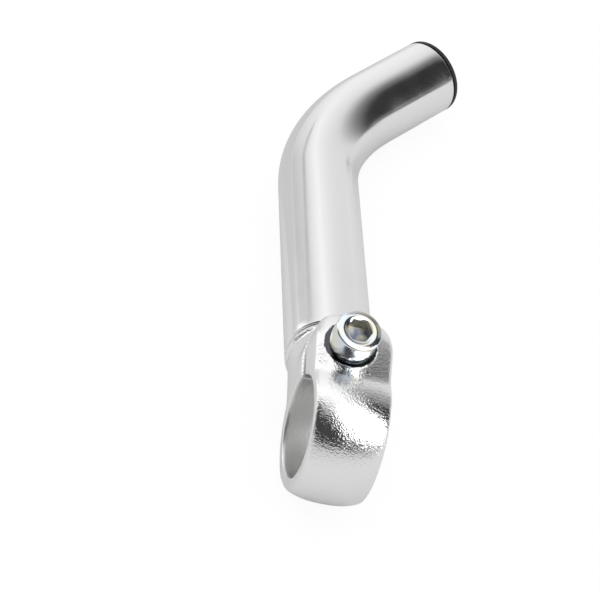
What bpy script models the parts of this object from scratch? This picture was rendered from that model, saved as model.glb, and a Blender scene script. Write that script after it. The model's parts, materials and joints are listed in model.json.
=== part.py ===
"""Bicycle bar end: a cast clamp, a bent tube pressed on its spigot, the clamp screw and the end plug.

Every size is in metres. The clamp and the screw are modelled in the clamp's own frame: the bore's centre
is the origin, X runs along the tube, Y is the bore's axis and Z points to the screw's side. The tube and its
plug are modelled in the tube's frame, where the bend lies in the XY plane.
"""

import math

import bmesh
import bpy
from mathutils import Matrix, Vector

mm = 0.001

# Driving dimensions of the clamp
bore_diameter = 22.3 * mm  # a 22.2 mm handlebar, with room to slide on
clamp_end_width = 15.6 * mm  # at the ring's far side; both faces draft straight out to the neck
clamp_neck_width = 18.8 * mm  # where the casting runs into the collar
ring_crown_diameter = 30.6 * mm
ring_rim_diameter = 27.2 * mm
bore_chamfer = 0.5 * mm
slot_width = 2.4 * mm
slot_height = 2.9 * mm  # middle of the slot, above the bore's centre along the screw's axis
screw_tilt = math.radians(19)
screw_offset = 14.6 * mm  # screw's axis from the bore's centre
screw_shift = 1.4 * mm  # screw's axis from the tube's axis, away from the tip
seat_height = 13.0 * mm  # the machined seat, above the bore's centre along the screw's axis
spot_face_diameter = 12.0 * mm
ear_height = 15.0 * mm  # top of the ear, above the bore's centre along the screw's axis
ear_depth = 20.4 * mm
ear_reach = 11.0 * mm  # from the screw's axis to the ear's rounded end
neck_depth = 19.8 * mm  # of the casting, where it runs into the turned collar
collar_end = 26.4 * mm  # shoulder, from the bore's centre
collar_length = 1.2 * mm
collar_chamfer = 0.3 * mm
collar_taper = 2.0 * mm  # hidden in the casting
spigot_length = 20.0 * mm
hole_spare_depth = 1.5 * mm  # below the screw's tip
drill_tip = 1.8 * mm
tool_clearance = 30.0 * mm  # how far the cutting tools reach outside the casting

# Driving dimensions of the tube and its plug
tube_diameter = 20.0 * mm
tube_wall = 1.8 * mm
tube_drop = 0.8 * mm  # tube's axis below the bore's centre
tube_gap = 0.6 * mm  # between the clamp's shoulder and the tube's end
tube_end_round = 0.5 * mm
bend_start = 91.5 * mm  # from the bore's centre
bend_radius = 47.0 * mm  # at the tube's axis
bend_angle = math.radians(47)
tip_length = 22.0 * mm
twist = math.radians(16)  # the bend is turned from the bore's axis by this
rest_roll = math.radians(-5.7)  # how it lies on a table: tilted about the tube, then along it
rest_pitch = math.radians(2.6)
plug_flange = 1.4 * mm
plug_depth = 12.0 * mm
plug_wall = 1.4 * mm
plug_ribs = 3
plug_rib_height = 0.3 * mm
plug_rib_width = 0.6 * mm
plug_crown = 0.6 * mm
plug_edge = 0.3 * mm

# Driving dimensions of the screw
screw_diameter = 6.0 * mm
screw_length = 20.0 * mm
head_diameter = 10.0 * mm
head_height = 6.0 * mm
head_round = 0.5 * mm
socket_across_flats = 5.0 * mm
socket_depth = 3.2 * mm
socket_mouth = 0.35 * mm  # depth of the chamfer at the socket's mouth
socket_tip = 0.9 * mm
screw_chamfer = 0.8 * mm
head_edge = 0.2 * mm

# Fits and mesh fineness
fit_gap = 0.3 * mm
cast_voxel = 1.15 * mm
cast_smoothing = 4
ear_section_power = 3.0  # 2 is an ellipse, more is squarer
ear_end_power = 2.2
neck_section_power = 4.0
around = 48

# Worked out from the sizes above
machining_stock = 0.3 * mm
ring_crown = ring_crown_diameter / 2
neck_end = collar_end - collar_length
face_slope = (clamp_neck_width - clamp_end_width) / 2 / (neck_end + ring_crown)
collar_middle = collar_end - collar_length / 2
tube_inner = tube_diameter / 2 - tube_wall
tube_start = collar_end + tube_gap
slot_plane = Matrix.Rotation(-screw_tilt, 4, "Y")
screw_frame = slot_plane @ Matrix.Translation((screw_offset, screw_shift, seat_height))


def clear_scene():
    for old in list(bpy.data.objects):
        bpy.data.objects.remove(old, do_unlink=True)


def material(name, colour, roughness, metallic):
    made = bpy.data.materials.new(name)
    made.use_nodes = True
    shader = made.node_tree.nodes["Principled BSDF"]
    shader.inputs["Base Color"].default_value = (*colour, 1)
    shader.inputs["Roughness"].default_value = roughness
    shader.inputs["Metallic"].default_value = metallic
    made.diffuse_color = (*colour, 1)
    return made


def add_object(name, bm, finish=None, parent=None, frame=None, cutter=False):
    mesh = bpy.data.meshes.new(name)
    bm.normal_update()
    bmesh.ops.recalc_face_normals(bm, faces=bm.faces)
    bm.to_mesh(mesh)
    bm.free()
    made = bpy.data.objects.new(name, mesh)
    bpy.context.collection.objects.link(made)
    made.parent = parent
    made.matrix_local = frame or Matrix.Identity(4)
    if finish:
        mesh.materials.append(finish)
    if cutter:
        made.hide_render = True
        made.display_type = "WIRE"
    return made


def add_empty(name, parent, location, rotation):
    made = bpy.data.objects.new(name, None)
    made.empty_display_size = clamp_end_width
    bpy.context.collection.objects.link(made)
    made.parent = parent
    made.location = location
    made.rotation_euler = rotation
    return made


def skin(bm, rings):
    """Joins closed rings of equal count one after another; a ring of one point closes the end."""
    for first, second in zip(rings, rings[1:]):
        for i in range(max(len(first), len(second))):
            corners = [first[i % len(first)], first[(i + 1) % len(first)]]
            corners += [second[(i + 1) % len(second)], second[i % len(second)]]
            bm.faces.new(list(dict.fromkeys(corners)))


def revolve(bm, profile, axis, steps=around):
    """Turns (distance along the axis, radius) points round X, Y or Z. A radius of 0 is a pole."""
    along = "XYZ".index(axis)
    rings = []
    for distance, radius in profile:
        turns = steps if radius else 1
        ring = []
        for i in range(turns):
            angle = 2 * math.pi * i / turns
            point = [0.0, 0.0, 0.0]
            point[along] = distance
            point[(along + 1) % 3] = radius * math.cos(angle)
            point[(along + 2) % 3] = radius * math.sin(angle)
            ring.append(bm.verts.new(point))
        rings.append(ring)
    skin(bm, rings)


def squircle(half_y, half_z, power, steps=around):
    """A closed curve between an ellipse (power 2) and a rounded rectangle (power 4 and more)."""
    points = []
    for i in range(steps):
        angle = 2 * math.pi * i / steps
        c, s = math.cos(angle), math.sin(angle)
        y = half_y * math.copysign(abs(c) ** (2 / power), c)
        z = half_z * math.copysign(abs(s) ** (2 / power), s)
        points.append((y, z))
    return points


def ease(t):
    t = min(max(t, 0), 1)
    return t * t * (3 - 2 * t)


def mix(a, b, t):
    return a + (b - a) * t


def half_width(x):
    """Half the clamp's width at a distance along the tube."""
    return clamp_end_width / 2 + face_slope * (x + ring_crown)


def widen(bm):
    """Gives a blank of half width 1 the clamp's drafted width."""
    for vert in bm.verts:
        vert.co.y *= half_width(vert.co.x)


def ring_blank():
    """The crowned ring around the bar, still solid, with stock left on its two faces."""
    bm = bmesh.new()
    rim = ring_rim_diameter / 2
    proud = 1 + machining_stock / half_width(0)
    profile = [(-proud, 0)]
    steps = 12
    for i in range(steps + 1):
        t = 2 * i / steps - 1
        profile.append((t * proud, rim + (ring_crown - rim) * (1 - abs(t) ** 2.6)))
    profile.append((proud, 0))
    revolve(bm, profile, "Y")
    widen(bm)
    return bm


def ear_blank():
    """The rounded lobe that the screw goes through, tangent to the ring's top."""
    bm = bmesh.new()
    half_height = ear_depth / 2
    centre = ear_height - half_height
    rings = [[bm.verts.new((0, 0, centre))]]
    steps = 12
    stations = [(screw_offset * i / steps, 1.0) for i in range(steps + 1)]
    for i in range(1, steps):
        angle = math.pi / 2 * i / steps
        power = 2 / ear_end_power
        stations.append((screw_offset + ear_reach * math.sin(angle) ** power, math.cos(angle) ** power))
    for along, size in stations:
        section = squircle(size, half_height * size, ear_section_power)
        rings.append([bm.verts.new((along, y, centre + z)) for y, z in section])
    rings.append([bm.verts.new((screw_offset + ear_reach, 0, centre))])
    skin(bm, rings)
    bm.transform(slot_plane)
    widen(bm)
    return bm


def neck_blank():
    """The taper from the flat-sided ring to the round collar. Its underside is tangent to the ring."""
    bm = bmesh.new()
    start_depth = ring_crown - tube_drop
    rings = [[bm.verts.new((0, 0, -tube_drop))]]
    steps = 16
    for i in range(steps + 1):
        t = i / steps
        half_z = mix(start_depth, neck_depth / 2, t)
        section = squircle(1, half_z, mix(neck_section_power, 2, ease(t)))
        rings.append([bm.verts.new((neck_end * t, y, z - tube_drop)) for y, z in section])
    last = [bm.verts.new((collar_middle, vert.co.y, vert.co.z)) for vert in rings[-1]]
    rings += [last, [bm.verts.new((collar_middle, 0, -tube_drop))]]
    skin(bm, rings)
    widen(bm)
    return bm


def collar_and_spigot():
    """The turned end: a chamfered shoulder, and the spigot that the tube is pressed on."""
    bm = bmesh.new()
    outer = tube_diameter / 2
    spigot = tube_inner - fit_gap
    root = neck_end - collar_taper
    tip = collar_end + spigot_length
    profile = [
        (root, 0),
        (root, outer - collar_taper),
        (neck_end, outer),
        (collar_end - collar_chamfer, outer),
        (collar_end, outer - collar_chamfer),
        (collar_end, spigot),
        (tip - 2 * collar_chamfer, spigot),
        (tip, spigot - 2 * collar_chamfer),
        (tip, 0),
    ]
    revolve(bm, profile, "X")
    bm.transform(Matrix.Translation((0, 0, -tube_drop)))
    return bm


def bore_cutter():
    bm = bmesh.new()
    radius = bore_diameter / 2
    mouth = 1 - bore_chamfer / half_width(0)
    over = 0.4
    flare = radius + bore_chamfer * over / (1 - mouth) + bore_chamfer
    profile = [(-1 - over, 0), (-1 - over, flare), (-mouth, radius)]
    profile += [(mouth, radius), (1 + over, flare), (1 + over, 0)]
    revolve(bm, profile, "Y", 72)
    widen(bm)
    return bm


def box(low, high):
    bm = bmesh.new()
    centre = (Vector(low) + Vector(high)) / 2
    size = Vector(high) - Vector(low)
    place = Matrix.Translation(centre) @ Matrix.Diagonal((*size, 1))
    bmesh.ops.create_cube(bm, size=1, matrix=place)
    return bm


def face_cutter(side):
    """Mills one drafted face flat from the ring to the neck."""
    near, far = sorted((side, 1.6 * side))
    bm = box((-2 * ring_crown, near, -2 * ring_crown), (neck_end, far, 2 * ring_crown))
    widen(bm)
    return bm


def slot_cutter():
    low = (bore_diameter / 4, -clamp_end_width, slot_height - slot_width / 2)
    high = (screw_offset + tool_clearance, clamp_end_width, slot_height + slot_width / 2)
    bm = box(low, high)
    bm.transform(slot_plane)
    return bm


def seat_cutter():
    """The spot face above the seat and the blind hole below it, in one turned cutter."""
    bm = bmesh.new()
    hole = screw_diameter / 2 + fit_gap
    bottom = -screw_length - hole_spare_depth
    profile = [
        (bottom - drill_tip, 0),
        (bottom, hole),
        (0, hole),
        (0, spot_face_diameter / 2),
        (tool_clearance, spot_face_diameter / 2),
        (tool_clearance, 0),
    ]
    revolve(bm, profile, "Z")
    bm.transform(screw_frame)
    return bm


def cut(target, cutter, operation="DIFFERENCE", solver="EXACT"):
    modifier = target.modifiers.new(cutter.name, "BOOLEAN")
    modifier.operation = operation
    modifier.solver = solver
    modifier.object = cutter


def build_clamp(parent, finish):
    """A casting with soft blends, then machined: faces, bore, slot, seat, hole, collar and spigot."""
    blank = bmesh.new()
    for part in (ring_blank(), ear_blank(), neck_blank()):
        scratch = bpy.data.meshes.new("scratch")
        part.to_mesh(scratch)
        part.free()
        blank.from_mesh(scratch)
        bpy.data.meshes.remove(scratch)
    clamp = add_object("clamp", blank, finish, parent)
    remesh = clamp.modifiers.new("cast_skin", "REMESH")
    remesh.mode = "VOXEL"
    remesh.voxel_size = cast_voxel
    smooth = clamp.modifiers.new("cast_blends", "SMOOTH")
    smooth.factor = 0.5
    smooth.iterations = cast_smoothing
    turned = add_object("turned_end", collar_and_spigot(), parent=parent, cutter=True)
    cut(clamp, turned, "UNION")
    cut(clamp, add_object("slot_saw", slot_cutter(), parent=parent, cutter=True))
    cut(clamp, add_object("seat_tool", seat_cutter(), parent=parent, cutter=True))
    bore = add_object("bore_tool", bore_cutter(), parent=parent, cutter=True)
    cut(clamp, bore, solver="MANIFOLD")  # the hole passes so near the bore that EXACT can fail here
    cut(clamp, add_object("face_mill_left", face_cutter(1), parent=parent, cutter=True))
    cut(clamp, add_object("face_mill_right", face_cutter(-1), parent=parent, cutter=True))
    return clamp


def hexagon(bm, height, across_flats):
    radius = across_flats / 2 / math.cos(math.pi / 6)
    corners = []
    for i in range(6):
        angle = math.pi / 3 * i
        point = (radius * math.cos(angle), radius * math.sin(angle), height)
        corners.append(bm.verts.new(point))
    return corners


def build_screw(parent, finish):
    """A socket cap screw. Its origin is on its axis, at the seat, where its head lands."""
    bm = bmesh.new()
    head = head_diameter / 2
    shank = screw_diameter / 2
    top = fit_gap + head_height
    tip = fit_gap - screw_length
    profile = [
        (tip, 0),
        (tip, shank - screw_chamfer),
        (tip + screw_chamfer, shank),
        (fit_gap, shank),
        (fit_gap, head - head_edge),
        (fit_gap + head_edge, head),
    ]
    for i in range(5):
        angle = math.pi / 2 * i / 4
        along = top - head_round * (1 - math.sin(angle))
        profile.append((along, head - head_round * (1 - math.cos(angle))))
    profile.append((top, 0))
    revolve(bm, profile, "Z")
    screw = add_object("clamp_screw", bm, finish, parent, screw_frame)
    socket = bmesh.new()
    floor = top - socket_depth
    tip = socket.verts.new((0, 0, floor - socket_tip))
    lower = hexagon(socket, floor, socket_across_flats)
    upper = hexagon(socket, top - socket_mouth, socket_across_flats)
    flare = hexagon(socket, top + socket_mouth, socket_across_flats + 2 * socket_mouth)
    skin(socket, [[tip], lower, upper, flare])
    socket.faces.new(flare)
    cut(screw, add_object("socket_punch", socket, None, parent, screw_frame, cutter=True))
    return screw


def tube_stations():
    """(point, direction) pairs along the tube's axis, in the tube's frame."""
    run = [tube_start, tube_start + tube_end_round]
    run += [mix(tube_start, bend_start, t) for t in (0.33, 0.66, 1.0)]
    stations = [(Vector((x, 0, 0)), Vector((1, 0, 0))) for x in run]
    centre = Vector((bend_start, -bend_radius, 0))
    steps = 14
    for i in range(1, steps + 1):
        angle = bend_angle * i / steps
        along = Vector((math.cos(angle), -math.sin(angle), 0))
        point = centre + bend_radius * Vector((math.sin(angle), math.cos(angle), 0))
        stations.append((point, along))
    point, along = stations[-1]
    for distance in (tip_length / 2, tip_length - tube_end_round, tip_length):
        stations.append((point + along * distance, along))
    return stations


def tube_ring(bm, station, radius):
    point, along = station
    across = Vector((0, 0, 1)).cross(along)
    ring = []
    for i in range(around):
        angle = 2 * math.pi * i / around
        offset = math.cos(angle) * across + math.sin(angle) * Vector((0, 0, 1))
        ring.append(bm.verts.new(point + radius * offset))
    return ring


def build_tube(parent, finish):
    bm = bmesh.new()
    stations = tube_stations()
    outer = tube_diameter / 2
    last = len(stations) - 1
    rings = []
    for i, station in enumerate(stations):
        radius = outer - tube_end_round if i in (0, last) else outer
        rings.append(tube_ring(bm, station, radius))
    inner = [station for i, station in enumerate(stations) if i not in (1, last - 1)]
    rings += [tube_ring(bm, station, tube_inner) for station in reversed(inner)]
    skin(bm, rings + rings[:1])
    return add_object("tube", bm, finish, parent)


def build_plug(parent, finish):
    """A hollow plastic plug: a domed flange over the tube's end and a ribbed sleeve inside it."""
    bm = bmesh.new()
    outer = tube_diameter / 2
    rib = tube_inner - fit_gap
    sleeve = rib - plug_rib_height
    bore = sleeve - plug_wall
    profile = [(-plug_depth, bore), (-plug_depth, sleeve - plug_edge), (plug_edge - plug_depth, sleeve)]
    pitch = (plug_depth - 2 * plug_rib_width) / plug_ribs
    for i in range(plug_ribs):
        start = -plug_depth + plug_rib_width + i * pitch
        profile.append((start, sleeve))
        profile.append((start + plug_rib_height, rib))
        profile.append((start + plug_rib_height + plug_rib_width, rib))
        profile.append((start + 2 * plug_rib_height + plug_rib_width, sleeve))
    face = fit_gap + plug_flange
    profile += [(fit_gap, sleeve), (fit_gap, outer - plug_edge), (fit_gap + plug_edge, outer)]
    profile += [(face - 2 * plug_edge, outer), (face - plug_edge, outer - plug_edge)]
    profile += [(face, outer - 3 * plug_edge), (face + plug_crown * 0.8, outer / 2), (face + plug_crown, 0)]
    inner = [(fit_gap, 0), (fit_gap, bore - plug_edge), (0, bore)]
    revolve(bm, inner + profile, "X", 40)
    point, along = tube_stations()[-1]
    frame = Matrix.Translation(point) @ Matrix.Rotation(-bend_angle, 4, "Z")
    return add_object("end_plug", bm, finish, parent, frame)


def rest_on_floor(root, pieces):
    """Lays the bar end down as it rests, with the middle of its box's underside at the origin."""
    root.rotation_euler = (rest_roll, rest_pitch, 0)
    bpy.context.view_layer.update()
    graph = bpy.context.evaluated_depsgraph_get()
    points = []
    for piece in pieces:
        evaluated = piece.evaluated_get(graph)
        mesh = evaluated.to_mesh()
        points += [evaluated.matrix_world @ vert.co for vert in mesh.vertices]
        evaluated.to_mesh_clear()
    low = Vector([min(point[i] for point in points) for i in range(3)])
    high = Vector([max(point[i] for point in points) for i in range(3)])
    root.location = Vector((-(low.x + high.x) / 2, -(low.y + high.y) / 2, -low.z))


def main():
    clear_scene()
    cast = material("cast_aluminium", (0.78, 0.78, 0.79), 0.22, 1.0)
    polished = material("polished_aluminium", (0.86, 0.86, 0.87), 0.12, 1.0)
    zinc = material("zinc_plated_steel", (0.66, 0.70, 0.74), 0.25, 1.0)
    plastic = material("black_plastic", (0.012, 0.012, 0.013), 0.45, 0.0)
    bar_end = add_empty("bar_end", None, (0, 0, 0), (0, 0, 0))
    clamp_frame = add_empty("clamp_frame", bar_end, (0, 0, 0), (twist, 0, 0))
    clamp_frame.location = Matrix.Rotation(twist, 3, "X") @ Vector((0, 0, tube_drop))
    clamp = build_clamp(clamp_frame, cast)
    screw = build_screw(clamp_frame, zinc)
    tube = build_tube(bar_end, polished)
    plug = build_plug(bar_end, plastic)
    rest_on_floor(bar_end, [clamp, screw, tube, plug])


main()
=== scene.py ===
"""Looks of a bicycle bar end: cast clamp, bent polished tube, socket cap screw and plastic end plug.

The file is laid out as an add-on, with its sizes and colours in property groups, and is run as a script.
Every piece is modelled in the frame of the clamp, the tube or the screw, then moved to its CAD place.
"""

import json
import math

import bmesh
import bpy
from mathutils import Euler, Matrix, Vector


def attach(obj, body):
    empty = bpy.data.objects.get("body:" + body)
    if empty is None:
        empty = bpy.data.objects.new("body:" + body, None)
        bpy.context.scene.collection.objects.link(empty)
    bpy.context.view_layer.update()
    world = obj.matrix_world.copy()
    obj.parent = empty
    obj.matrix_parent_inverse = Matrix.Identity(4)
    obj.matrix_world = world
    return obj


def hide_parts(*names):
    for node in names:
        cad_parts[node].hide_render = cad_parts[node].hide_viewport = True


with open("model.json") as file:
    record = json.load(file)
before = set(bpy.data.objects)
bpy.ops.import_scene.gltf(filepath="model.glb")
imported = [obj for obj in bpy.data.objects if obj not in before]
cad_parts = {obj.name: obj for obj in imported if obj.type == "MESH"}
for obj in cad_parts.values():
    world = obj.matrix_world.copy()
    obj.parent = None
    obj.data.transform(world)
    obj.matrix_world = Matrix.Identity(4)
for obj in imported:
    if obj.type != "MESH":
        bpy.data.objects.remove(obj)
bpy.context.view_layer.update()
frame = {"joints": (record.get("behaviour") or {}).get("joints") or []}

bl_info = {
    "name": "Bicycle Bar End",
    "version": (1, 0, 0),
    "blender": (4, 5, 0),
    "location": "View3D > Sidebar > Bar End",
    "description": "Models a bicycle bar end: cast clamp, polished tube, clamp screw and end plug",
    "category": "Add Mesh",
}

mm = 0.001
seat_point = Vector(frame["joints"][0]["pos_m"])  # on the screw's axis, where its head lands
crown_power = 2.6  # of the curve that runs from a crown down to its rim
tool_reach = 30 * mm  # of a cutting tool, enough to come out of the part
fitting_gap = 0.3 * mm  # between pressed parts


def from_hex(code):
    """An sRGB hex colour as linear red, green and blue."""
    parts = [int(code[i : i + 2], 16) / 255 for i in (1, 3, 5)]
    return tuple(c / 12.92 if c <= 0.04045 else ((c + 0.055) / 1.055) ** 2.4 for c in parts)


def length(name, description, millimetres):
    return bpy.props.FloatProperty(
        name=name, description=description, default=millimetres * mm, min=0, precision=5, unit="LENGTH"
    )


def angle(name, description, degrees):
    return bpy.props.FloatProperty(
        name=name, description=description, default=math.radians(degrees), precision=3, unit="ROTATION"
    )


def colour(name, description, code):
    return bpy.props.FloatVectorProperty(
        name=name, description=description, default=from_hex(code), size=3, min=0, max=1, subtype="COLOR"
    )


def share(name, description, value, most=1.0):
    return bpy.props.FloatProperty(
        name=name, description=description, default=value, min=0, max=most, subtype="FACTOR"
    )


def count(name, description, value):
    return bpy.props.IntProperty(name=name, description=description, default=value, min=1)


class ClampSizes(bpy.types.PropertyGroup):
    bore_diameter: length("Bore", "Diameter of the hole for the handlebar", 22.3)
    bore_chamfer: length("Bore chamfer", "Break of the bore's two mouths", 0.25)
    end_width: length("End width", "Width at the ring's far side", 15.6)
    neck_width: length("Neck width", "Width where the casting runs into the collar", 18.65)
    crown_diameter: length("Crown", "Diameter of the ring at the middle of its width", 30.5)
    rim_diameter: length("Rim", "Diameter of the ring at its two faces", 27.2)
    slot_width: length("Slot width", "Width of the saw cut that lets the ring close", 2.4)
    slot_height: length("Slot height", "Middle of the saw cut above the bore's centre", 2.9)
    screw_tilt: angle("Screw tilt", "Tilt of the screw and the slot from the tube", 19)
    screw_offset: length("Screw offset", "From the bore's axis to the screw's", 14.6)
    screw_shift: length("Screw shift", "From the tube's axis to the screw's", 1.4)
    seat_height: length("Seat height", "Machined seat above the bore's centre", 13.0)
    spot_face: length("Spot face", "Diameter of the machined seat", 11.5)
    ear_height: length("Ear height", "Top of the ear above the bore's centre", 13.8)
    ear_depth: length("Ear depth", "Depth of the ear along the screw", 19.2)
    ear_reach: length("Ear reach", "From the screw's axis to the ear's round end", 11.0)
    neck_depth: length("Neck depth", "Depth of the neck at the collar", 19.8)
    collar_end: length("Collar end", "Shoulder that the tube stops at, from the bore's centre", 26.4)
    collar_length: length("Collar length", "Length of the turned collar", 1.2)
    collar_chamfer: length("Collar chamfer", "Break of the collar's edge", 0.3)
    spigot_length: length("Spigot length", "Length of the turned end inside the tube", 20.0)
    cast_voxel: length("Casting mesh", "Cell of the casting's first skin", 0.45)
    cast_smoothing: count("Casting smoothing", "Passes that run the ring, ear and neck together", 26)
    edge_voxel: length("Edge mesh", "Cell of the skin that rounds the machined edges", 0.33)
    edge_smoothing: count("Edge smoothing", "Passes that round the machined edges", 3)


class TubeSizes(bpy.types.PropertyGroup):
    diameter: length("Diameter", "Outside diameter of the tube", 19.95)
    wall: length("Wall", "Thickness of the tube's wall", 1.8)
    drop: length("Drop", "Tube's axis below the bore's centre", 0.8)
    gap: length("Gap", "Between the clamp's shoulder and the tube's end", 0.4)
    end_round: length("End round", "Radius on the edges of the tube's ends", 0.5)
    bend_start: length("Bend start", "Where the bend starts, from the bore's centre", 91.5)
    bend_radius: length("Bend radius", "Radius of the bend at the tube's axis", 47.0)
    bend_angle: angle("Bend angle", "Turn of the bend", 47)
    tip_length: length("Tip length", "Straight length after the bend", 21.93)
    twist: angle("Twist", "Turn of the bend from the bore's axis", 16)
    roll: angle("Roll", "Tilt about the tube as it lies on a table", -5.7)
    pitch: angle("Pitch", "Tilt along the tube as it lies on a table", 2.6)


class ScrewSizes(bpy.types.PropertyGroup):
    diameter: length("Diameter", "Outside diameter of the thread", 6.0)
    pitch: length("Pitch", "Distance between two threads", 1.0)
    length: length("Length", "From under the head to the tip", 20.0)
    head_diameter: length("Head diameter", "Diameter of the head", 10.0)
    head_height: length("Head height", "Height of the head", 6.0)
    head_round: length("Head round", "Radius on the head's top edge", 0.5)
    top_chamfer: length("Top chamfer", "Width of the slope inside the head's top edge", 0.45)
    head_edge: length("Head edge", "Break of the head's lower edge", 0.2)
    across_flats: length("Across flats", "Size of the hexagon key", 5.0)
    socket_depth: length("Socket depth", "Depth of the hexagon", 3.2)
    socket_mouth: length("Socket mouth", "Depth of the chamfer at the socket's mouth", 0.3)
    mouth_diameter: length("Mouth diameter", "Diameter of the chamfer at the socket's mouth", 6.4)
    edge_break: length("Edge break", "Width of the break on the socket's edges", 0.05)
    seat_gap: length("Seat gap", "Between the head and its seat", 0.3)


class PlugSizes(bpy.types.PropertyGroup):
    flange: length("Flange", "Thickness of the flange over the tube's end", 1.4)
    depth: length("Depth", "Depth of the sleeve in the tube", 12.0)
    wall: length("Wall", "Thickness of the sleeve", 1.4)
    rib_height: length("Rib height", "Height of the ribs that grip the tube", 0.3)
    rib_width: length("Rib width", "Width of each rib's crest", 0.6)
    ribs: count("Ribs", "Ribs round the sleeve", 3)
    crown: length("Crown", "Rise of the flange's face", 0.6)
    edge: length("Edge", "Radius on the flange's edges", 0.3)


class FinishSettings(bpy.types.PropertyGroup):
    aluminium: colour("Aluminium", "Bare polished aluminium", "#F2F2F3")
    cut_aluminium: colour("Cut aluminium", "Bored and sawn aluminium, not polished", "#E2E2E1")
    # Painted shade: the seat's dark grey stands in for the shade in the spot-face pocket and the dark it
    # mirrors, not for the tone of cut aluminium
    seat_aluminium: colour("Seat painted shade", "Painted shade on the spot-faced seat under the screw's head", "#55575A")
    zinc_blue: colour("Zinc blue", "Blue tone of the passivated zinc", "#E4ECF4")
    zinc_straw: colour("Zinc straw", "Straw tone of the passivated zinc", "#EFEBDA")
    # Painted reflection and painted shade: the socket's gold tone stands in for a reflection inside the
    # hexagon, and its dark blue for the shade on the socket's walls
    zinc_gold: colour("Socket painted reflection", "Painted reflection in the socket, gold", "#E3DFC4")
    zinc_indigo: colour("Socket painted shade", "Painted shade in the socket, blue", "#8890AC")
    plastic: colour("Plastic", "Black moulded plastic", "#1B1B1C")
    peel: share("Orange peel", "Strength of the casting's pebbled skin, 1 as photographed", 1.0)


class StageSettings(bpy.types.PropertyGroup):
    floor: colour("Floor", "White table", "#E8E8E7")
    room: share("Room", "Brightness of the white room on matt surfaces", 0.95, 4.0)
    walls: share("Walls", "Brightness of the white room in reflections", 0.8, 4.0)
    softbox: share("Softbox", "Brightness of the large softbox", 2.6, 8.0)
    near: length("Near", "Distance of the softbox from the clamp", 800.0)
    reach: length("Reach", "Distance of the other cards from the clamp", 3000.0)
    screen: length("Screen", "Distance of the dark screen that only the clamp mirrors", 130.0)
    camera_place: bpy.props.FloatVectorProperty(
        name="Camera", description="Camera's place", default=(-0.37086, 0.06418, 0.31971), unit="LENGTH"
    )
    camera_turn: bpy.props.FloatVectorProperty(
        name="Camera turn",
        description="Camera's rotation",
        default=[math.radians(d) for d in (48.5983, -6.5998, -91.4217)],
        subtype="EULER",
    )
    lens: bpy.props.FloatProperty(
        name="Lens", description="Focal length", default=121.4, min=1, unit="CAMERA"
    )


groups = {
    "bar_end_clamp": ClampSizes,
    "bar_end_tube": TubeSizes,
    "bar_end_screw": ScrewSizes,
    "bar_end_plug": PlugSizes,
    "bar_end_finish": FinishSettings,
    "bar_end_stage": StageSettings,
}


def screw_in_clamp(clamp):
    """The screw's frame in the clamp's: Z outwards along the screw, at the seat."""
    place = Matrix.Translation((clamp.screw_offset, clamp.screw_shift, clamp.seat_height))
    return Matrix.Rotation(-clamp.screw_tilt, 4, "Y") @ place


def clamp_in_tube(tube):
    return Matrix.Rotation(tube.twist, 4, "X") @ Matrix.Translation((0, 0, tube.drop))


def tube_frame(scene):
    """X along the tube's straight run from the bore's centre, with the bend in the XY plane."""
    clamp, tube = scene.bar_end_clamp, scene.bar_end_tube
    turn = Euler((tube.roll, tube.pitch, 0)).to_matrix().to_4x4()
    seat = (turn @ clamp_in_tube(tube) @ screw_in_clamp(clamp)).translation
    return Matrix.Translation(seat_point - seat) @ turn


def clamp_frame(scene):
    """Y along the bore's axis, X along the tube, at the bore's centre."""
    return tube_frame(scene) @ clamp_in_tube(scene.bar_end_tube)


def screw_frame(scene):
    return clamp_frame(scene) @ screw_in_clamp(scene.bar_end_clamp)


def closed_up(bm):
    """Joins points that meet, as at poles and seams, and turns the faces one way."""
    bmesh.ops.remove_doubles(bm, verts=bm.verts, dist=0.001 * mm)
    bmesh.ops.recalc_face_normals(bm, faces=bm.faces)
    return bm


def turned(profile, steps, axis="Z", closed=False):
    """Spins (radius, height) points into a body. An open profile starts and ends on the axis."""
    bm = bmesh.new()
    verts = [bm.verts.new((radius, 0, height)) for radius, height in profile]
    ends = verts[1:] + verts[:1] if closed else verts[1:]
    edges = [bm.edges.new(pair) for pair in zip(verts, ends)]
    bmesh.ops.spin(
        bm,
        geom=verts + edges,
        cent=(0, 0, 0),
        axis=(0, 0, 1),
        angle=math.tau,
        steps=steps,
        use_merge=True,
    )
    turn = {"X": (90, "Y"), "Y": (-90, "X"), "Z": (0, "Z")}[axis]
    bm.transform(Matrix.Rotation(math.radians(turn[0]), 4, turn[1]))
    return closed_up(bm)


def rounded(corner, start, end, radius, steps=6):
    """Points of a quarter round in a profile, from the side towards start to the side towards end."""
    corner, start, end = Vector(corner), Vector(start), Vector(end)
    to_start, to_end = (start - corner).normalized(), (end - corner).normalized()
    centre = corner + radius * (to_start + to_end)
    points = []
    for i in range(steps + 1):
        turn = math.pi / 2 * i / steps
        points.append(tuple(centre - radius * (math.cos(turn) * to_end + math.sin(turn) * to_start)))
    return points


def lofted(sections):
    """Extrudes a closed ring through sections of equal point counts, and caps both ends."""
    bm = bmesh.new()
    order = bm.verts.layers.int.new("order")
    ring = bmesh.ops.create_circle(bm, cap_ends=True, segments=len(sections[0]), radius=mm)["verts"]
    for i, vert in enumerate(ring):
        vert[order] = i
        vert.co = sections[0][i]
    edges = list(bm.edges)
    for section in sections[1:]:
        made = bmesh.ops.extrude_edge_only(bm, edges=edges)["geom"]
        ends = {g for g in made if isinstance(g, bmesh.types.BMVert)}
        for vert in ends:
            vert.co = section[vert[order]]
        edges = [g for g in made if isinstance(g, bmesh.types.BMEdge) and ends.issuperset(g.verts)]
    bmesh.ops.edgeloop_fill(bm, edges=edges)
    return closed_up(bm)


def box(low, high):
    bm = bmesh.new()
    low, high = Vector(low), Vector(high)
    place = Matrix.Translation((low + high) / 2) @ Matrix.Diagonal((*(high - low), 1))
    bmesh.ops.create_cube(bm, size=1, matrix=place)
    return bm


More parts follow.
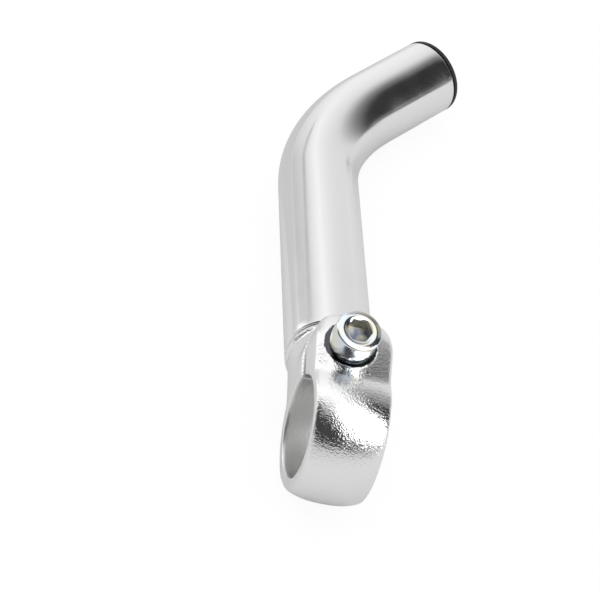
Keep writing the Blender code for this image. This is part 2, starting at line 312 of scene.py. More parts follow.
def helper(name, *bodies):
    """An object that a modifier works on or cuts with, and that is removed afterwards."""
    mesh = bpy.data.meshes.new(name)
    joined = bmesh.new()
    for body in bodies:
        body.to_mesh(mesh)
        body.free()
        joined.from_mesh(mesh)
    joined.to_mesh(mesh)
    joined.free()
    made = bpy.data.objects.new(name, mesh)
    bpy.context.collection.objects.link(made)
    return made


def cut(target, cutter, operation="DIFFERENCE"):
    """Cuts with a closed body, or joins it on. The solver would leave out an open one without a word."""
    check = bmesh.new()
    check.from_mesh(cutter.data)
    if not all(edge.is_manifold for edge in check.edges):
        raise RuntimeError(f"{cutter.name} isn't closed, so it can't be cut with or joined on")
    check.free()
    modifier = target.modifiers.new(cutter.name, "BOOLEAN")
    modifier.operation = operation
    modifier.solver = "MANIFOLD"
    modifier.object = cutter


def new_skin(target, voxel, smoothing):
    """Gives a body one even skin, with its joins or edges softened."""
    remesh = target.modifiers.new("skin", "REMESH")
    remesh.mode = "VOXEL"
    remesh.voxel_size = voxel
    smooth = target.modifiers.new("soft edges", "SMOOTH")
    smooth.factor = 0.5
    smooth.iterations = smoothing


def finished(name, target, place, helpers=()):
    """The target with its modifiers applied and its place in its mesh. The helpers go."""
    bpy.context.view_layer.update()
    graph = bpy.context.evaluated_depsgraph_get()
    mesh = bpy.data.meshes.new_from_object(target.evaluated_get(graph))
    if not mesh.polygons:
        raise RuntimeError(f"{name}: a cut left nothing")
    mesh.name = name
    mesh.transform(place)
    for old in (target, *helpers):
        bpy.data.objects.remove(old, do_unlink=True)
    made = bpy.data.objects.new(name, mesh)
    bpy.context.collection.objects.link(made)
    return made


def dress(piece, materials, sharp_degrees, body, node):
    """Materials and shading, and the CAD node that the piece stands for and moves with."""
    piece.data.materials.clear()
    for material in materials:
        piece.data.materials.append(material)
    piece.data.shade_smooth()
    piece.data.set_sharp_from_angle(angle=math.radians(sharp_degrees))
    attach(piece, body)
    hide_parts(node)


def new_tree(name):
    material = bpy.data.materials.new(name)
    material.use_nodes = True
    material.node_tree.nodes.clear()
    return material, material.node_tree


def add(tree, kind, inputs=None, **settings):
    """Adds a shader node. An input takes a value, an output, or a node for its first output."""
    made = tree.nodes.new("ShaderNode" + kind)
    for name, value in settings.items():
        setattr(made, name, value)
    for socket, value in (inputs or {}).items():
        if isinstance(value, bpy.types.Node):
            value = value.outputs[0]
        if isinstance(value, bpy.types.NodeSocket):
            tree.links.new(value, made.inputs[socket])
        else:
            made.inputs[socket].default_value = value
    return made


def opaque(values):
    return (*values, 1)


def ramp(node, stops):
    """Sets a colour ramp's stops from (position, grey) pairs."""
    elements = node.color_ramp.elements
    while len(elements) < len(stops):
        elements.new(0.5)
    for element, (position, grey) in zip(elements, stops):
        element.position = position
        element.color = (grey, grey, grey, 1)
    return node


def crowned(half_height, drop, steps=48):
    """The ring's own section as a closed curve: flat sides, and a crown above and below."""
    points = []
    for sign in (1, -1):
        for i in range(steps):
            t = 1 - 2 * i / steps
            points.append((sign * t, sign * (half_height - drop * abs(t) ** crown_power)))
        for i in range(steps // 2):
            points.append((-sign, sign * (half_height - drop) * (1 - 4 * i / steps)))
    return points


def squircle(half_y, half_z, power, steps=96):
    """A closed curve between an ellipse (power 2) and a rounded rectangle (power 4 and more)."""
    points = []
    for i in range(steps):
        turn = math.tau * i / steps
        c, s = math.cos(turn), math.sin(turn)
        y = half_y * math.copysign(abs(c) ** (2 / power), c)
        z = half_z * math.copysign(abs(s) ** (2 / power), s)
        points.append((y, z))
    return points


def mix(a, b, t):
    return a + (b - a) * t


def ease(t):
    return t * t * (3 - 2 * t)


def neck_end(clamp):
    return clamp.collar_end - clamp.collar_length


def half_width(clamp, x):
    """Half the clamp's drafted width at a distance along the tube."""
    far = clamp.crown_diameter / 2
    slope = (clamp.neck_width - clamp.end_width) / 2 / (neck_end(clamp) + far)
    return clamp.end_width / 2 + slope * (x + far)


def widen(bm, clamp):
    """Gives a blank of half width 1 the clamp's drafted width."""
    for vert in bm.verts:
        vert.co.y *= half_width(clamp, vert.co.x)
    return bm


def ring_blank(clamp):
    """The crowned ring round the bar, still solid and with stock on its two faces."""
    rim, crown = clamp.rim_diameter / 2, clamp.crown_diameter / 2
    stock = 0.3 * mm
    proud = 1 + stock / half_width(clamp, 0)
    steps = 32
    profile = [(0, -proud)]
    for i in range(steps + 1):
        t = 2 * i / steps - 1
        profile.append((rim + (crown - rim) * (1 - abs(t) ** crown_power), t * proud))
    profile.append((0, proud))
    return widen(turned(profile, 160, "Y"), clamp)


def ear_blank(clamp):
    """The rounded lobe that the screw goes through, tangent to the ring's top."""
    half_height = clamp.ear_depth / 2
    ring_drop = (clamp.crown_diameter - clamp.rim_diameter) / 2
    outline = crowned(half_height, 1.4 * ring_drop)  # more crowned than the ring
    centre = clamp.ear_height - half_height
    steps = 24
    power = 2 / 2.2  # an end a little squarer than round
    stations = [(clamp.screw_offset * i / steps, 1.0) for i in range(steps + 1)]
    for i in range(1, steps):
        turn = math.pi / 2 * i / steps
        along = clamp.screw_offset + clamp.ear_reach * math.sin(turn) ** power
        stations.append((along, math.cos(turn) ** power))
    sections = []
    for along, size in stations:
        sections.append([(along, y * size, centre + z * size) for y, z in outline])
    bm = lofted(sections)
    bm.transform(Matrix.Rotation(-clamp.screw_tilt, 4, "Y"))
    return widen(bm, clamp)


def neck_blank(clamp, tube):
    """The taper from the flat-sided ring to the round collar. Its underside is tangent to the ring."""
    start = clamp.crown_diameter / 2 - tube.drop
    square, oval = 4, 2  # powers of the section at the ring and at the collar
    steps = 32
    sections = []
    for i in range(steps + 1):
        t = i / steps
        half_z = mix(start, clamp.neck_depth / 2, t)
        outline = squircle(1, half_z, mix(square, oval, ease(t)))
        sections.append([(neck_end(clamp) * t, y, z - tube.drop) for y, z in outline])
    middle = clamp.collar_end - clamp.collar_length / 2
    sections.append([(middle, y, z) for x, y, z in sections[-1]])
    return widen(lofted(sections), clamp)


def turned_end(clamp, tube):
    """The shoulder and the spigot that the tube is pressed on, with a cone that runs into the neck."""
    outer, chamfer = tube.diameter / 2, clamp.collar_chamfer
    spigot = outer - tube.wall - fitting_gap
    cone = 2 * mm
    root = neck_end(clamp) - cone
    tip = clamp.collar_end + clamp.spigot_length
    profile = [(0, root), (outer - cone, root), (outer, neck_end(clamp))]
    profile += [(outer, clamp.collar_end - chamfer), (outer - chamfer, clamp.collar_end)]
    profile += [(spigot, clamp.collar_end), (spigot, tip - 2 * chamfer)]
    profile += [(spigot - 2 * chamfer, tip), (0, tip)]
    bm = turned(profile, 160, "X")
    bm.transform(Matrix.Translation((0, 0, -tube.drop)))
    return bm


def bore_tool(clamp):
    """The bore with its two chamfers. Lengths along it are shares of the clamp's half width."""
    radius, chamfer = clamp.bore_diameter / 2, clamp.bore_chamfer
    mouth = 1 - chamfer / half_width(clamp, 0)
    over = 0.4  # how far it comes out of each face
    flare = radius + chamfer * over / (1 - mouth) + chamfer
    profile = [(0, -1 - over), (flare, -1 - over), (radius, -mouth)]
    profile += [(radius, mouth), (flare, 1 + over), (0, 1 + over)]
    return widen(turned(profile, 192, "Y"), clamp)


def face_mill(clamp, side):
    """Takes the stock off one of the clamp's flat faces. The side is 1 or -1."""
    near, far = sorted((side, 1.6 * side))
    reach = clamp.crown_diameter
    bm = box((-reach, near, -reach), (neck_end(clamp), far, reach))
    return widen(bm, clamp)


def slot_saw(clamp):
    wide = clamp.end_width
    low = (clamp.bore_diameter / 4, -wide, clamp.slot_height - clamp.slot_width / 2)
    high = (clamp.screw_offset + tool_reach, wide, clamp.slot_height + clamp.slot_width / 2)
    bm = box(low, high)
    bm.transform(Matrix.Rotation(-clamp.screw_tilt, 4, "Y"))
    return bm


def spot_facer(clamp):
    radius = clamp.spot_face / 2
    bm = turned([(0, 0), (radius, 0), (radius, tool_reach), (0, tool_reach)], 160)
    bm.transform(screw_in_clamp(clamp))
    return bm


def hole_drill(clamp, screw):
    play, room, point = 0.05 * mm, 1.5 * mm, 1.8 * mm  # round the thread, below it, and for the point
    radius = screw.diameter / 2 + play
    bottom = -screw.length - room
    profile = [(0, bottom - point), (radius, bottom), (radius, mm), (0, mm)]
    bm = turned(profile, 96)
    bm.transform(screw_in_clamp(clamp))
    return bm


def skin_at(clamp, point):
    """0 for the mould's skin, 1 for a bored or sawn face, 2 for the seat, in the clamp's frame.

    Each cut is taken a little larger than it is, because its edges are rounded afterwards.
    """
    bore = clamp.bore_diameter / 2 + 0.7 * clamp.bore_chamfer
    if math.hypot(point.x, point.z) < bore or point.x > neck_end(clamp) + 0.1 * mm:
        return 1
    in_slot = Matrix.Rotation(clamp.screw_tilt, 3, "Y") @ point
    if abs(in_slot.z - clamp.slot_height) < clamp.slot_width / 2 + 0.06 * mm and in_slot.x > 0:
        return 1
    in_seat = screw_in_clamp(clamp).inverted() @ point
    return 2 if math.hypot(in_seat.x, in_seat.y) < clamp.spot_face / 2 + 0.05 * mm else 0


class BAREND_OT_clamp(bpy.types.Operator):
    """Model the cast clamp with its bore, slot, seat and turned spigot"""

    bl_idname = "bar_end.clamp"
    bl_label = "Clamp"

    def execute(self, context):
        scene = context.scene
        clamp, tube, screw = scene.bar_end_clamp, scene.bar_end_tube, scene.bar_end_screw
        target = helper("casting", ring_blank(clamp), ear_blank(clamp), neck_blank(clamp, tube))
        new_skin(target, clamp.cast_voxel, clamp.cast_smoothing)
        spigot = helper("turned end", turned_end(clamp, tube))
        cut(target, spigot, "UNION")
        tools = [
            helper("slot saw", slot_saw(clamp)),
            helper("spot facer", spot_facer(clamp)),
            helper("bore tool", bore_tool(clamp)),
            helper("left mill", face_mill(clamp, 1)),
            helper("right mill", face_mill(clamp, -1)),
        ]
        for tool in tools:
            cut(target, tool)
        new_skin(target, clamp.edge_voxel, clamp.edge_smoothing)
        drill = helper("drill", hole_drill(clamp, screw))
        cut(target, drill)
        piece = finished("clamp_casting", target, clamp_frame(scene), [spigot, drill, *tools])
        finish = scene.bar_end_finish
        skins = [
            casting_material(finish),
            machined_material("bored aluminium", scene, finish.cut_aluminium, 0.4),
            # the seat's faces take the painted shade colour
            machined_material("spot-faced aluminium with painted shade", scene, finish.seat_aluminium, 0.18),
        ]
        dress(piece, skins, 45, "bar_end", "clamp")
        to_clamp = clamp_frame(scene).inverted()
        for face in piece.data.polygons:
            face.material_index = skin_at(clamp, to_clamp @ face.center)
        return {"FINISHED"}


def unbent(tube, point):
    """Where a point of the tube would be if the tube were straight: along it, then across it."""
    start, radius = tube.bend_start, tube.bend_radius
    if point.x <= start and point.y > -radius:
        return Vector(point)
    centre = Vector((start, -radius, 0))
    arm = Vector((point.x, point.y, 0)) - centre
    turn = min(math.atan2(arm.x, arm.y), tube.bend_angle)
    back = Matrix.Rotation(turn, 3, "Z") @ (Vector(point) - centre)
    return Vector((start + radius * turn + back.x, back.y - radius, back.z + centre.z))


def swept_wall(tube, profile, steps):
    """Spins a closed (radius, distance) profile of the straight tube, then bends its far part."""
    bm = turned(profile, steps, "X", closed=True)
    start, radius = tube.bend_start, tube.bend_radius
    bend = radius * tube.bend_angle
    for vert in bm.verts:
        along = vert.co.x - start
        if along <= 0:
            continue
        turn = min(along, bend) / radius
        rest = max(along - bend, 0)
        arm = Vector((rest, vert.co.y + radius, 0))
        back = Matrix.Rotation(-turn, 3, "Z") @ arm
        vert.co = Vector((start + back.x, back.y - radius, vert.co.z))
    return bm


def tube_profile(tube, clamp):
    """The wall's section along the straightened tube, with rounded lips at both ends."""
    outer = tube.diameter / 2
    inner = outer - tube.wall
    first = clamp.collar_end + tube.gap
    bend_end = tube.bend_start + tube.bend_radius * tube.bend_angle
    last = bend_end + tube.tip_length
    lip = tube.end_round
    points = rounded((outer, first), (inner, first), (outer, last), lip)
    run, bend, tip = 30, 40, 10  # rings of the mesh in each stretch
    stations = [first + lip + (tube.bend_start - first - lip) * i / run for i in range(1, run + 1)]
    stations += [mix(tube.bend_start, bend_end, i / bend) for i in range(1, bend + 1)]
    stations += [mix(bend_end, last - lip, i / tip) for i in range(1, tip)]
    points += [(outer, x) for x in stations]
    points += rounded((outer, last), (outer, first), (inner, last), lip)
    points += [(inner, last)]
    points += [(inner, x) for x in reversed(stations)]
    points += [(inner, first)]
    return points


class BAREND_OT_tube(bpy.types.Operator):
    """Model the bent tube with its rounded ends"""

    bl_idname = "bar_end.tube"
    bl_label = "Tube"

    def execute(self, context):
        scene = context.scene
        tube = scene.bar_end_tube
        bm = swept_wall(tube, tube_profile(tube, scene.bar_end_clamp), 128)
        target = helper("tube wall", bm)
        piece = finished("polished_tube", target, tube_frame(scene))
        along = piece.data.attributes.new("unbent", "FLOAT_VECTOR", "POINT")
        to_tube = tube_frame(scene).inverted()
        for i, vert in enumerate(piece.data.vertices):
            along.data[i].vector = unbent(tube, to_tube @ vert.co)
        material = tube_material(scene.bar_end_finish)
        dress(piece, [material], 40, "bar_end", "tube")
        return {"FINISHED"}


def head_body(screw):
    """The head with its rounded top edge and the slope inside it."""
    radius, low = screw.head_diameter / 2, screw.seat_gap
    top = low + screw.head_height
    profile = [(0, low), (radius - screw.head_edge, low), (radius, low + screw.head_edge)]
    shoulder = top - screw.top_chamfer / 3
    profile += rounded((radius, shoulder), (radius, low), (0, shoulder), screw.head_round, 8)
    profile += [(radius - screw.head_round - screw.top_chamfer, top), (0, top)]
    return turned(profile, 128)


def socket_punch(screw):
    """The hexagon, a drill point below it and a conical chamfer at its mouth."""
    top = screw.seat_gap + screw.head_height
    floor = top - screw.socket_depth
    point, lap = 0.9 * mm, 0.05 * mm  # depth of the drill point, and how far it reaches into the hexagon
    corner = screw.across_flats / 2 / math.cos(math.pi / 6)
    hexagon = bmesh.new()
    ring = bmesh.ops.create_circle(hexagon, cap_ends=True, segments=6, radius=corner)["verts"]
    bmesh.ops.translate(hexagon, verts=ring, vec=(0, 0, floor))
    face = hexagon.faces[:]
    made = bmesh.ops.extrude_face_region(hexagon, geom=face)["geom"]
    moved = [g for g in made if isinstance(g, bmesh.types.BMVert)]
    bmesh.ops.translate(hexagon, verts=moved, vec=(0, 0, screw.socket_depth + mm))
    closed_up(hexagon)
    inner = screw.across_flats / 2
    drill = turned([(0, floor - point), (inner * 0.96, floor + lap), (0, floor + 2 * lap)], 64)
    mouth = screw.mouth_diameter / 2
    over = 2 * mouth - inner
    profile = [(0, top - screw.socket_mouth), (inner, top - screw.socket_mouth)]
    profile += [(over, top + screw.socket_mouth), (0, top + screw.socket_mouth)]
    return hexagon, drill, turned(profile, 96)


def threaded_shank(screw):
    """An M6 shank: one thread's section wound past both ends, then cut square and closed there."""
    crest, pitch = screw.diameter / 2, screw.pitch
    root = crest - 0.61 * pitch  # a metric thread's depth
    low = screw.seat_gap - screw.length
    turns = int(screw.length / pitch) + 3
    section = [(root, 0), (root, 0.12), (crest, 0.44), (crest, 0.56), (root, 0.88), (root, 1)]
    bm = bmesh.new()
    verts = [bm.verts.new((radius, 0, low + (along - 1.5) * pitch)) for radius, along in section]
    edges = [bm.edges.new(pair) for pair in zip(verts, verts[1:])]
    steps = 48 * turns
    bmesh.ops.spin(
        bm,
        geom=verts + edges,
        cent=(0, 0, 0),
        axis=(0, 0, 1),
        dvec=(0, 0, turns * pitch / steps),
        angle=math.tau * turns,
        steps=steps,
        use_merge=False,
    )
    bmesh.ops.remove_doubles(bm, verts=bm.verts, dist=0.002 * mm)
    for height, outwards in ((low, -1), (screw.seat_gap + 0.5 * pitch, 1)):
        everything = bm.verts[:] + bm.edges[:] + bm.faces[:]
        made = bmesh.ops.bisect_plane(
            bm, geom=everything, plane_co=(0, 0, height), plane_no=(0, 0, outwards), clear_outer=True
        )
        rim = [g for g in made["geom_cut"] if isinstance(g, bmesh.types.BMEdge)]
        bmesh.ops.edgeloop_fill(bm, edges=rim)
    return closed_up(bm)


def tip_chamfer(screw):
    """A dish that leaves the tip of the shank with its chamfer."""
    low, crest = screw.seat_gap - screw.length, screw.diameter / 2
    depth = 0.8 * mm
    profile = [(crest - depth, low), (crest + mm, low + depth + mm)]
    profile += [(crest + mm, low - mm), (crest - depth, low - mm)]
    return turned(profile, 96, closed=True)


class BAREND_OT_screw(bpy.types.Operator):
    """Model the socket cap screw with its thread"""

    bl_idname = "bar_end.screw"
    bl_label = "Clamp screw"

    def execute(self, context):
        scene = context.scene
        screw = scene.bar_end_screw
        target = helper("head", head_body(screw))
        punches = [helper("punch", body) for body in socket_punch(screw)]
        shank = helper("shank", threaded_shank(screw))
        dish = helper("tip dish", tip_chamfer(screw))
        for punch in punches:
            cut(target, punch)
        weld = target.modifiers.new("clean cuts", "WELD")
        weld.merge_threshold = 0.01 * mm
        bevel = target.modifiers.new("socket edges", "BEVEL")
        bevel.width = screw.edge_break
        bevel.segments = 2
        bevel.use_clamp_overlap = False
        bevel.limit_method = "ANGLE"
        bevel.angle_limit = math.radians(50)
        cut(target, shank, "UNION")
        cut(target, dish)
        piece = finished("socket_cap_screw", target, screw_frame(scene), [shank, dish, *punches])
        finish = scene.bar_end_finish
        head_tones = finish.zinc_blue, finish.zinc_straw
        # the socket's tones are painted reflection and painted shade, not the zinc's own colour
        socket_painted_tones = finish.zinc_gold, finish.zinc_indigo
        skins = [
            zinc_material("blue passivated zinc plate", *head_tones, 3.5 * mm, 0.13),
            zinc_material("zinc plate with painted socket reflection and shade", *socket_painted_tones, 2.4 * mm, 0.45),
        ]
        dress(piece, skins, 35, "screw", "clamp_screw")
        to_screw = screw_frame(scene).inverted()
        tip = min((to_screw @ vert.co).z for vert in piece.data.vertices)
        if tip > 0.1 * mm + screw.seat_gap - screw.length:
            raise RuntimeError("socket_cap_screw: the shank isn't joined to the head")
        mouth = screw.seat_gap + screw.head_height - screw.socket_mouth
        corner = 0.6 * screw.across_flats  # a little outside the hexagon's corners
        # faces inside the socket take the painted reflection and shade
        for face in piece.data.polygons:
            spot = to_screw @ face.center
            inside = math.hypot(spot.x, spot.y) < corner
            face.material_index = int(inside and screw.seat_gap < spot.z < mouth)
        return {"FINISHED"}


def plug_profile(plug, tube):
    """The closed section of the flange with its crowned face, and of the ribbed sleeve."""
    gap = fitting_gap
    outer = tube.diameter / 2
    rib = outer - tube.wall - gap
    sleeve = rib - plug.rib_height
    bore = sleeve - plug.wall
    face = gap + plug.flange
    points = [(0, gap)]
    points += rounded((bore, gap), (0, gap), (bore, -plug.depth), plug.edge, 4)
    points += [(bore, -plug.depth), (sleeve - plug.edge, -plug.depth), (sleeve, plug.edge - plug.depth)]
    pitch = (plug.depth - 2 * plug.rib_width) / plug.ribs
    for i in range(plug.ribs):
        start = -plug.depth + plug.rib_width + i * pitch
        points += [(sleeve, start), (rib, start + plug.rib_height)]
        points += [(rib, start + plug.rib_height + plug.rib_width)]
        points += [(sleeve, start + 2 * plug.rib_height + plug.rib_width)]
    points += [(sleeve, gap), (outer - plug.edge, gap)]
    points += rounded((outer, gap), (sleeve, gap), (outer, face), plug.edge, 5)[1:]
    radius = 3 * plug.edge
    points += rounded((outer, face), (outer, gap), (sleeve, face), radius, 8)
    steps = 12
    for i in range(1, steps + 1):
        across = (outer - radius) * (1 - i / steps)
        rise = plug.crown * (1 - (across / (outer - radius)) ** 2)
        points.append((across, face + rise))
    return points


class BAREND_OT_plug(bpy.types.Operator):
    """Model the moulded plug that closes the tube's tip"""

    bl_idname = "bar_end.plug"
    bl_label = "End plug"

    def execute(self, context):
        scene = context.scene
        tube = scene.bar_end_tube
        target = helper("plug", turned(plug_profile(scene.bar_end_plug, tube), 128, "X"))
        tip = Matrix.Rotation(-tube.bend_angle, 4, "Z")
        tip.translation = tip @ Vector((tube.tip_length, tube.bend_radius, 0))
        tip.translation += Vector((tube.bend_start, -tube.bend_radius, 0))
        piece = finished("moulded_end_plug", target, tube_frame(scene) @ tip)
        material = plastic_material(scene.bar_end_finish)
        dress(piece, [material], 35, "bar_end", "end_plug")
        return {"FINISHED"}


def casting_material(finish):
    """Aluminium die casting, tumbled bright: a mirror skin pebbled like orange peel, with fine marks."""
    material, tree = new_tree("tumble-polished aluminium casting")
    place = add(tree, "TexCoord").outputs["Object"]
    broad, fine = 0.6 * mm, 0.3 * mm  # width of the mould's pebbles, and of the tumbling marks on them
    pebbles = add(tree, "TexNoise", {"Vector": place, "Scale": 1 / broad, "Detail": 1, "Roughness": 0.4})
    marks = add(tree, "TexNoise", {"Vector": place, "Scale": 1 / fine, "Detail": 1, "Roughness": 0.5})
    low = add(tree, "Bump", {"Strength": finish.peel, "Distance": 0.036 * mm, "Height": pebbles})
    high = add(tree, "Bump", {"Distance": 0.056 * mm, "Height": marks, "Normal": low})
    cloud = add(tree, "TexNoise", {"Vector": place, "Scale": 1 / (6 * mm), "Detail": 3.0})
    worn = ramp(add(tree, "ValToRGB", {"Fac": cloud}), [(0.35, 0.06), (0.7, 0.11)])
    shader = add(
        tree,
        "BsdfPrincipled",
        {"Base Color": opaque(finish.aluminium), "Metallic": 1.0, "Roughness": worn, "Normal": high},
    )
    add(tree, "OutputMaterial", {"Surface": shader})
    return material


def machined_material(name, scene, tone, roughness):
    """Cut aluminium: duller than the skin, with the tool's rings round the bore and a torn grain."""
    material, tree = new_tree(name)
    clamp = clamp_frame(scene)
    place = add(tree, "TexCoord").outputs["Object"]
    turned_to_bore = add(
        tree,
        "Mapping",
        {"Vector": place, "Location": clamp.translation, "Rotation": clamp.to_euler()},
        vector_type="TEXTURE",
    )
    # real feed marks are 0.1 to 0.2 mm apart, too fine to show, so they are drawn coarser
    feed = 0.55 * mm
    rings = add(
        tree,
        "TexWave",
        {
            "Vector": turned_to_bore,
            "Scale": math.tau / 20 / feed,  # at scale 1 the bands are a 20th of a turn apart
            "Distortion": 1.2,
            "Detail": 2.0,
            "Detail Scale": 0.4,
        },
        bands_direction="Y",
    )
    grain = add(tree, "TexNoise", {"Vector": place, "Scale": 1 / (0.35 * mm), "Detail": 3.0})
    low = add(tree, "Bump", {"Strength": 0.8, "Distance": 0.012 * mm, "Height": rings.outputs["Fac"]})
    bump = add(tree, "Bump", {"Strength": 0.8, "Distance": 0.045 * mm, "Height": grain, "Normal": low})
    shader = add(
        tree,
        "BsdfPrincipled",
        {"Base Color": opaque(tone), "Metallic": 1.0, "Roughness": roughness, "Normal": bump},
    )
    add(tree, "OutputMaterial", {"Surface": shader})
    return material


def tube_material(finish):
    """Aluminium tube polished along its length: a soft mirror drawn out by fine lengthwise lines."""
    material, tree = new_tree("lengthwise-polished aluminium")
    along = add(tree, "Attribute", attribute_name="unbent").outputs["Vector"]
    stretched = add(tree, "Mapping", {"Vector": along, "Scale": (0.02, 1, 1)})
    line = 0.5 * mm  # real polishing lines are finer than 0.05 mm, so these are drawn coarser to show
    lines = add(tree, "TexNoise", {"Vector": stretched, "Scale": 1 / line, "Detail": 4, "Roughness": 0.6})
    cloud = add(tree, "TexNoise", {"Vector": along, "Scale": 1 / (14 * mm), "Detail": 2.0})
    bump = add(tree, "Bump", {"Distance": 0.0035 * mm, "Height": lines})
    haze = ramp(add(tree, "ValToRGB", {"Fac": cloud}), [(0.35, 0.13), (0.7, 0.2)])
    shader = add(
        tree,
        "BsdfPrincipled",
        {"Base Color": opaque(finish.aluminium), "Metallic": 1.0, "Roughness": haze, "Normal": bump},
    )
    add(tree, "OutputMaterial", {"Surface": shader})
    return material


def zinc_material(name, tone_a, tone_b, patch_size, roughness):
    """Steel with bright passivated zinc plate: two tones in patches and a faint grain. On the head they
    are the zinc's interference tones; in the socket they are painted reflection and painted shade.
    """
    material, tree = new_tree(name)
    place = add(tree, "TexCoord").outputs["Object"]
    patch = add(tree, "TexNoise", {"Vector": place, "Scale": 1 / patch_size, "Detail": 2.0})
    share_b = ramp(add(tree, "ValToRGB", {"Fac": patch}), [(0.42, 0), (0.66, 1)])
    tones = {0: share_b, 6: opaque(tone_a), 7: opaque(tone_b)}
    tone = add(tree, "Mix", tones, data_type="RGBA").outputs[2]
    grain = add(tree, "TexNoise", {"Vector": place, "Scale": 1 / (0.25 * mm), "Detail": 2.0})
    bump = add(tree, "Bump", {"Strength": 0.6, "Distance": 0.004 * mm, "Height": grain})
    shader = add(
        tree,
        "BsdfPrincipled",
        {"Base Color": tone, "Metallic": 1.0, "Roughness": roughness, "Normal": bump},
    )
    add(tree, "OutputMaterial", {"Surface": shader})
    return material


def plastic_material(finish):
    """Moulded low-density polythene: black, matt from a spark-eroded mould, with a soft sheen."""
    material, tree = new_tree("moulded black polythene")
    place = add(tree, "TexCoord").outputs["Object"]
    grain = add(tree, "TexNoise", {"Vector": place, "Scale": 1 / (0.3 * mm), "Detail": 3.0})
    bump = add(tree, "Bump", {"Strength": 0.7, "Distance": 0.015 * mm, "Height": grain})
    rough = ramp(add(tree, "ValToRGB", {"Fac": grain}), [(0.3, 0.42), (0.7, 0.55)])
    shader = add(
        tree,
        "BsdfPrincipled",
        {"Base Color": opaque(finish.plastic), "Roughness": rough, "IOR": 1.51, "Normal": bump},
    )
    add(tree, "OutputMaterial", {"Surface": shader})
    return material


def sight(azimuth, elevation, reach):
    """A point in a direction from the clamp. Azimuth 0 is along +X and 90 along +Y."""
    a, e = math.radians(azimuth), math.radians(elevation)
    away = Vector((math.cos(e) * math.cos(a), math.cos(e) * math.sin(a), math.sin(e)))
    return Vector((seat_point.x, seat_point.y, 0)) + away * reach


def card(name, lower, upper, reach):
    """A curved card that only reflections see, between two rows of (azimuth, elevation, grey) points."""
    bm = bmesh.new()
    grey = bm.verts.layers.float.new("grey")
    spans = len(lower) - 1
    bmesh.ops.create_grid(bm, x_segments=12 * spans, y_segments=12, size=1)
    for vert in bm.verts:
        along = (vert.co.x + 1) / 2 * spans
        i = min(int(along), spans - 1)
        low, high = (Vector(row[i]).lerp(Vector(row[i + 1]), along - i) for row in (lower, upper))
        azimuth, elevation, vert[grey] = low.lerp(high, (vert.co.y + 1) / 2)
        vert.co = sight(azimuth, elevation, reach)
    return glowing(name, bm)


def table_sheet(name, middle, size, turn, level):
    """A grey sheet flat on the table that only reflections see."""
    bm = bmesh.new()
    grey = bm.verts.layers.float.new("grey")
    place = Matrix.Translation((*middle, 0.2 * mm)) @ Matrix.Rotation(turn, 4, "Z")
    place @= Matrix.Diagonal((*size, 1, 1))
    bmesh.ops.create_grid(bm, x_segments=1, y_segments=1, size=0.5, matrix=place)
    for vert in bm.verts:
        vert[grey] = level
    return glowing(name, bm)


def glowing(name, bm):
    """A stage object that glows by its mesh's grey layer, in reflections only."""
    made = helper(name, bm)
    material, tree = new_tree(name)
    level = add(tree, "Attribute", attribute_name="grey")
    glow = add(tree, "Emission", {"Color": (1, 1, 1, 1), "Strength": level.outputs["Fac"]})
    add(tree, "OutputMaterial", {"Surface": glow})
    made.data.materials.append(material)
    for ray in ("camera", "diffuse", "shadow", "transmission", "volume_scatter"):
        setattr(made, f"visible_{ray}", False)
    return made


def floor_material(stage):
    """White table: to the camera it glows almost white, and keeps part of the object's soft shadow."""
    material, tree = new_tree("white table")
    glow_share = 0.85
    matt = add(tree, "BsdfDiffuse", {"Color": opaque(stage.floor)})
    glow = add(tree, "Emission", {"Color": (1, 1, 1, 1), "Strength": 1.06})
    camera_ray = add(tree, "LightPath").outputs["Is Camera Ray"]
    seen = add(tree, "Math", {0: camera_ray, 1: glow_share}, operation="MULTIPLY")
    both = add(tree, "MixShader", {0: seen, 1: matt, 2: glow})
    add(tree, "OutputMaterial", {"Surface": both})
    return material


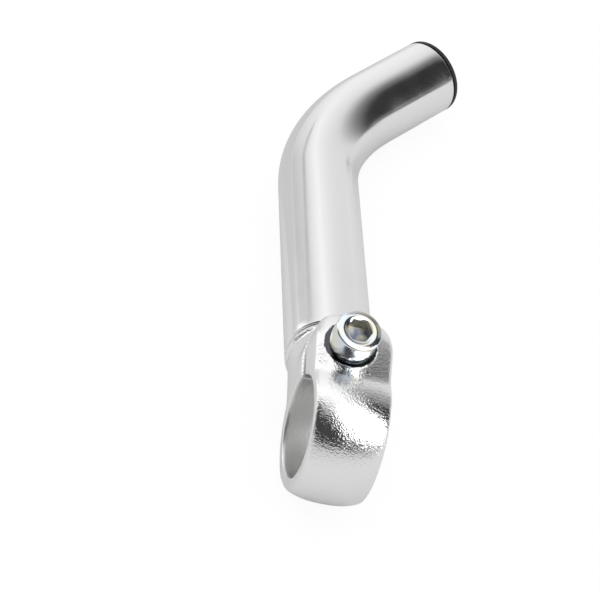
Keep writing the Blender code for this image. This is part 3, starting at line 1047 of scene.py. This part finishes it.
class BAREND_OT_stage(bpy.types.Operator):
    """Set up the camera, the white table, the room and the cards that the metal reflects"""

    bl_idname = "bar_end.stage"
    bl_label = "Stage"

    def execute(self, context):
        scene = context.scene
        stage = scene.bar_end_stage
        camera = bpy.data.objects.new("camera", bpy.data.cameras.new("camera"))
        context.collection.objects.link(camera)
        camera.location = stage.camera_place
        camera.rotation_euler = stage.camera_turn
        camera.data.lens = stage.lens
        camera.data.sensor_width = 36
        camera.data.clip_start = 0.01
        scene.camera = camera
        world = bpy.data.worlds.new("white room")
        world.use_nodes = True
        tree = world.node_tree
        tree.nodes.clear()
        path = add(tree, "LightPath")
        mirrored = {0: path.outputs["Is Glossy Ray"], 2: stage.room, 3: stage.walls}
        around = add(tree, "Mix", mirrored, data_type="FLOAT")
        seen = {0: path.outputs["Is Camera Ray"], 2: around, 3: 1.0}
        level = add(tree, "Mix", seen, data_type="FLOAT")
        glow = add(tree, "Background", {"Color": (1, 1, 1, 1), "Strength": level})
        add(tree, "OutputWorld", {"Surface": glow})
        scene.world = world
        bm = bmesh.new()
        bmesh.ops.create_grid(bm, x_segments=1, y_segments=1, size=20)  # 40 m across
        floor = helper("white_table", bm)
        floor.data.materials.append(floor_material(stage))
        reach = stage.reach
        lamp = stage.softbox
        card(
            "softbox",
            [(206, 33, lamp), (220, 28, lamp), (240, 16, lamp), (266, 8, lamp)],
            [(206, 74, lamp), (220, 78, lamp), (240, 80, lamp), (266, 80, lamp)],
            stage.near,
        )
        card(
            "charcoal_screen",
            [(254, 7, 0.02), (290, 1, 0.03), (300, 0, 0.3)]
            + [(312, 0, 0.78), (345, 0, 0.85), (365, 0, 0.95)],
            [(254, 66, 0.02), (300, 59, 0.03), (320, 58, 0.2)]
            + [(345, 56, 0.75), (355, 57, 0.9), (365, 58, 1)],
            reach,
        )
        wall_line = [(5, 24, 1.0), (25, 24, 0.8), (41, 24, 0.6)]
        card("grey_wall", [(5, 0, 0.95), (25, 0, 0.72), (41, 0, 0.5)], wall_line, reach)
        card("pale_wall", wall_line, [(5, 58, 1.15), (25, 58, 1.15), (41, 58, 1.15)], reach)
        card("white_window", [(42, 0, 1.3), (64, 0, 1.3)], [(42, 62, 1.3), (64, 62, 1.3)], reach)
        card("dark_post", [(75, 0, 0.3), (100, 0, 0.3)], [(75, 30, 0.3), (100, 30, 0.3)], reach)
        card(
            "pale_front",
            [(100, 0, 0.66), (160, 0, 0.66), (200, 0, 0.7), (240, 0, 0.75)],
            [(100, 26, 0.66), (160, 22, 0.66), (200, 18, 0.7), (240, 8, 0.75)],
            reach,
        )
        card(
            "dark_side",
            [(76, 28, 0.1), (100, 26, 0.06), (160, 22, 0.06), (200, 18, 0.06), (240, 8, 0.15)],
            [(76, 66, 0.1), (100, 66, 0.06), (160, 68, 0.06), (200, 72, 0.06), (240, 66, 0.15)],
            0.98 * reach,
        )
        card(
            "grey_ceiling",
            [(70, 66, 0.4), (160, 68, 0.4), (205, 72, 0.5), (266, 81, 0.9)],
            [(70, 90, 0.7), (160, 90, 0.7), (205, 90, 0.7), (266, 90, 0.9)],
            0.97 * reach,
        )
        card(
            "white_ceiling",
            [(262, 67, 1.15), (300, 59.5, 1.15), (345, 57, 1.15), (425, 60, 1.15)],
            [(262, 90, 1.15), (298, 90, 1.15), (345, 90, 1.15), (425, 90, 1.15)],
            0.96 * reach,
        )
        card(
            "near_screen",
            [(287, 16, 0.32), (307, 16, 0.32)],
            [(287, 57, 0.42), (307, 57, 0.42)],
            stage.screen,
        )
        rails = {
            "screen_rail": ([(254, 12, 0.22), (290, 4, 0.22)], [(254, 15, 0.22), (290, 7, 0.22)]),
            "wall_rail": ([(14, 19.4, 0.25), (41, 19.4, 0.25)], [(14, 21.4, 0.25), (41, 21.4, 0.25)]),
        }
        for name, (lower, upper) in rails.items():
            card(name, lower, upper, 0.99 * reach)
        table_sheet("grey_sheet", (0.281, 0.176), (0.572, 0.15), math.radians(34), 0.63)
        scene.view_settings.view_transform = "Standard"
        return {"FINISHED"}


class BAREND_PT_sizes(bpy.types.Panel):
    bl_idname = "BAREND_PT_sizes"
    bl_label = "Bar End"
    bl_space_type = "VIEW_3D"
    bl_region_type = "UI"
    bl_category = "Bar End"

    def draw(self, context):
        for operator in operators:
            self.layout.operator(operator.bl_idname)
        for name, group in groups.items():
            column = self.layout.column(heading=group.__name__)
            for setting in group.__annotations__:
                column.prop(getattr(context.scene, name), setting)


operators = (BAREND_OT_clamp, BAREND_OT_tube, BAREND_OT_screw, BAREND_OT_plug, BAREND_OT_stage)


def register():
    for cls in (*groups.values(), *operators, BAREND_PT_sizes):
        bpy.utils.register_class(cls)
    for name, group in groups.items():
        setattr(bpy.types.Scene, name, bpy.props.PointerProperty(type=group))


def unregister():
    for name in groups:
        delattr(bpy.types.Scene, name)
    for cls in reversed((*groups.values(), *operators, BAREND_PT_sizes)):
        bpy.utils.unregister_class(cls)


def main():
    register()
    bpy.ops.bar_end.clamp()
    bpy.ops.bar_end.tube()
    bpy.ops.bar_end.screw()
    bpy.ops.bar_end.plug()
    bpy.ops.bar_end.stage()


if __name__ == "__main__":
    main()
